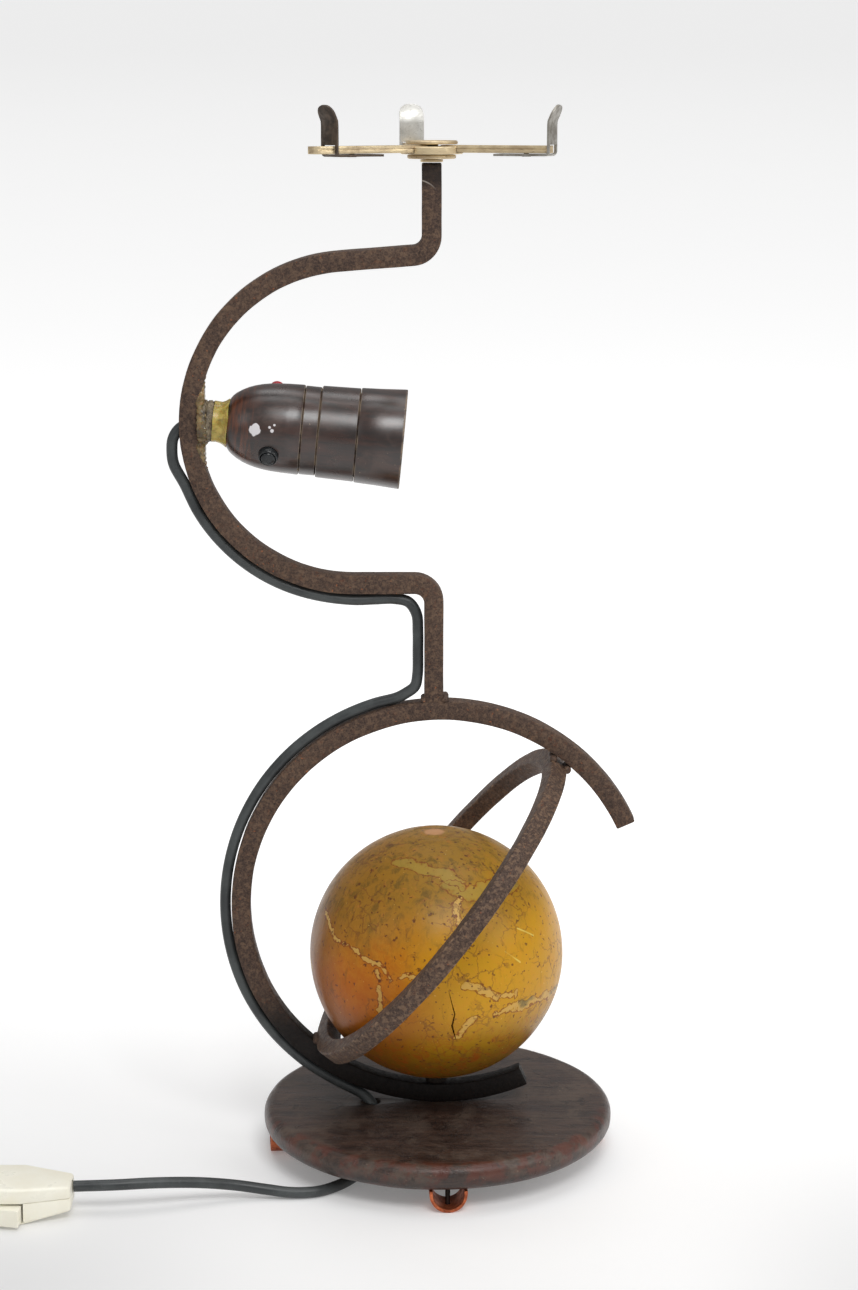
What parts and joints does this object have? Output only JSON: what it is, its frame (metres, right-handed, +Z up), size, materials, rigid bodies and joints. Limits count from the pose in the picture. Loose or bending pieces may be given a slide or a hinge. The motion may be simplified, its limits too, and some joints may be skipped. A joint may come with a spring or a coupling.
{
  "type": "table lamp",
  "caption": "Table lamp of bent square iron bar: round wooden foot, painted wooden globe in a hoop and tilted ring, side lampholder, shade gallery and lead.",
  "frame": {"origin": "middle of the lamp's own box at table level, without its free lead; the wooden foot's axis stands at x = 15.1 mm, y = 0", "axes": "+Z up; +X to the side that the lampholder's mouth faces, in the plane of the hoop; +Y to the back"},
  "size_m": [0.4114, 0.1827, 0.479],
  "materials": {
    "iron": "hand-bent wrought bar, dark brown with rust bloom and worn edges",
    "stained_wood": "turned wood under dark brown varnish, worn reddish at the rim",
    "painted_wood": "turned ball, ochre and gold paint with pale outlines, crackled satin varnish",
    "copper_strip": "bent copper strip, orange brown and tarnished",
    "steel": "plain steel, dulled and spotted with rust",
    "brass": "old brass, rubbed bright on the edges and tarnished in the corners",
    "bakelite": "moulded phenolic, dark red brown with faint marbling and gloss",
    "black_bakelite": "black moulded phenolic, satin",
    "red_plastic": "red moulded plastic, satin",
    "resin": "set resin, yellow and cloudy",
    "putty": "grey brown filler, rough",
    "ceramic": "glazed ceramic, off-white",
    "cable": "round two-core flex, dark grey, satin",
    "cream_plastic": "cream moulded plastic, softly glossy"
  },
  "bodies": {
    "root": {"hoop": "iron", "tilted_ring": "iron", "stem": "iron", "base_disc": "stained_wood", "foot_1": "copper_strip", "foot_2": "copper_strip", "foot_3": "copper_strip", "foot_4": "copper_strip", "foot_nail_1": "steel", "foot_nail_2": "steel", "foot_nail_3": "steel", "foot_nail_4": "steel", "centre_bolt": "steel", "switch_screw_1": "steel", "switch_screw_2": "steel", "rocker_pin": "steel", "globe_spacer": "brass", "nipple": "brass", "thread_shell": "brass", "centre_contact": "brass", "terminal_screw_1": "brass", "terminal_screw_2": "brass", "gallery_stud": "brass", "gallery_washer": "brass", "plug_pin_1": "brass", "plug_pin_2": "brass", "holder_cap": "bakelite", "holder_mantle": "bakelite", "shade_ring_rear": "bakelite", "shade_ring_front": "bakelite", "push_bush": "black_bakelite", "resin_collar": "resin", "neck_bush": "putty", "ceramic_insert": "ceramic", "frame_cable": "cable", "lead_to_switch": "cable", "lead_to_coil": "cable", "cord_coil": "cable", "lead_to_plug": "cable", "switch_lower_shell": "cream_plastic", "switch_upper_shell": "cream_plastic", "plug_body": "cream_plastic"},
    "globe": {"globe": "painted_wood"},
    "push_bar": {"push_rod": "brass", "push_button_black": "black_bakelite", "push_button_red": "red_plastic", "switch_bridge": "brass"},
    "rocker": {"switch_rocker": "cream_plastic"},
    "gallery": {"hub_lower_disc": "brass", "hub_plate": "brass", "hub_cap": "brass", "gallery_arm_1": "brass", "gallery_arm_2": "brass", "gallery_arm_3": "brass"},
    "clip_1": {"shade_clip_1": "steel", "clip_rivet_1": "steel"},
    "clip_2": {"shade_clip_2": "steel", "clip_rivet_2": "steel"},
    "clip_3": {"shade_clip_3": "steel", "clip_rivet_3": "steel"}
  },
  "joints": [
    {"name": "globe_turn", "type": "hinge", "parent": "root", "child": "globe", "pos_m": [0.0145, 0, 0.0945], "axis": [0, 0, 1], "continuous": true},
    {"name": "push_switch", "type": "slide", "parent": "root", "child": "push_bar", "axis": [-0.0479, -0.866, -0.4977], "range_m": [0, 0.006]},
    {"name": "rocker_tilt", "type": "hinge", "parent": "root", "child": "rocker", "pos_m": [-0.1815, -0.09005, 0.0055], "axis": [0, 0, 1], "range_deg": [0, 17]},
    {"name": "gallery_turn", "type": "hinge", "parent": "root", "child": "gallery", "pos_m": [0.0123, 0.00033, 0.45729], "axis": [0, 0.0611, 0.9981], "continuous": true},
    {"name": "clip_1_slide", "type": "slide", "parent": "gallery", "child": "clip_1", "axis": [0.9348, -0.3544, 0.0217], "range_m": [-0.013, 0.003]},
    {"name": "clip_2_slide", "type": "slide", "parent": "gallery", "child": "clip_2", "axis": [-0.1599, 0.9853, -0.0603], "range_m": [-0.013, 0.004]},
    {"name": "clip_3_slide", "type": "slide", "parent": "gallery", "child": "clip_3", "axis": [-0.7749, -0.6309, 0.0386], "range_m": [-0.015, 0.006]}
  ]
}
